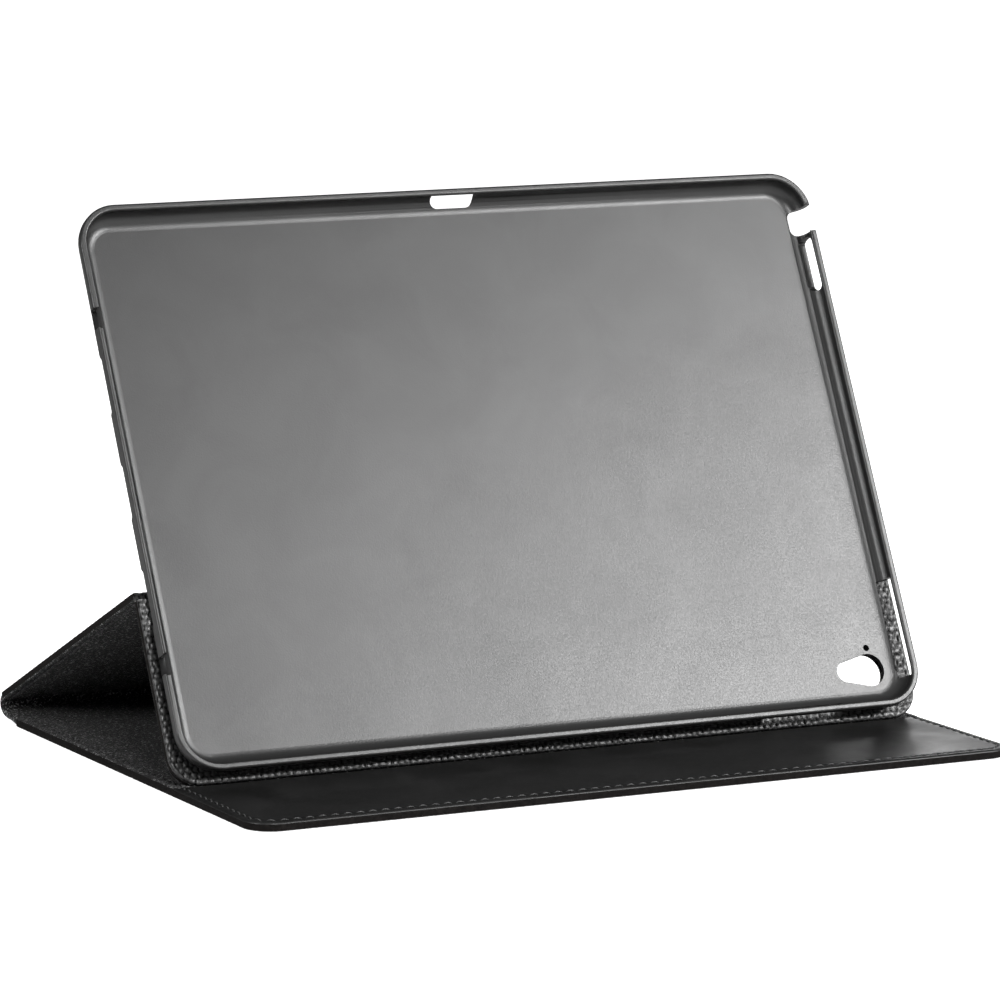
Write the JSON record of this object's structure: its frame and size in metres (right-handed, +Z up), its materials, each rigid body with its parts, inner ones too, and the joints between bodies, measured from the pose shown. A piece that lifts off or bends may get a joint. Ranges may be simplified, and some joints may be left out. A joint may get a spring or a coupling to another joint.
{
  "type": "tablet folio case",
  "caption": "Folding leather folio case for a tablet, with a hard snap-in tray, a split back panel that folds into a prop and a front cover that lies flat as the base.",
  "frame": {"origin": "middle of the footprint, on the table", "axes": "+X to the right along the tablet's long side, the open side of the tray faces -Y and the front edge of the cover is at the lowest Y, +Z up from the table"},
  "size_m": [0.2446, 0.1934, 0.1623],
  "materials": {
    "tray_plastic": "matt dark grey moulded plastic with a fine soft-touch grain",
    "adhesive": "thin double-sided adhesive film",
    "board": "pressed grey fibre board",
    "pebbled_leather": "black pebble-grained leather with a soft sheen",
    "napped_leather": "black napped leather with a short fuzzy pile",
    "smooth_leather": "black smooth leather with a low sheen and rounded burnished edges",
    "fold_leather": "black leather rolled over the fold",
    "thread": "black twisted sewing thread",
    "magnet": "plated disc magnets"
  },
  "bodies": {
    "tray": {"tray_shell": "tray_plastic", "adhesive_sheet": "adhesive", "back_panel_board": "board", "back_panel_pebbled": "pebbled_leather", "back_panel_lining": "napped_leather", "back_panel_stitching": "thread", "apex_crease": "fold_leather"},
    "prop": {"prop_board": "board", "prop_pebbled": "pebbled_leather", "prop_lining": "napped_leather", "prop_stitching": "thread", "prop_magnets": "magnet", "upper_crease": "fold_leather"},
    "spine": {"spine_board": "board", "spine_pebbled": "pebbled_leather", "spine_lining": "napped_leather", "spine_stitching": "thread"},
    "cover": {"lower_crease": "fold_leather", "cover_board": "board", "cover_pebbled": "pebbled_leather", "cover_lining": "napped_leather", "cover_band": "smooth_leather", "cover_stitching": "thread", "cover_magnets": "magnet"}
  },
  "joints": [
    {"name": "apex_fold", "type": "hinge", "parent": "tray", "child": "prop", "pos_m": [0, -0.01292, 0.05418], "axis": [1, 0, 0], "range_deg": [0, 87]},
    {"name": "upper_spine_fold", "type": "hinge", "parent": "prop", "child": "spine", "pos_m": [0, 0.09512, 0.00675], "axis": [1, 0, 0], "range_deg": [0, 221.99]},
    {"name": "lower_spine_fold", "type": "hinge", "parent": "spine", "child": "cover", "pos_m": [0, 0.08328, 0.0014], "axis": [1, 0, 0], "range_deg": [0, 114.31]}
  ],
  "couplings": [
    {"joint": "lower_spine_fold", "follows": "apex_fold", "ratio": 1.3138}
  ]
}
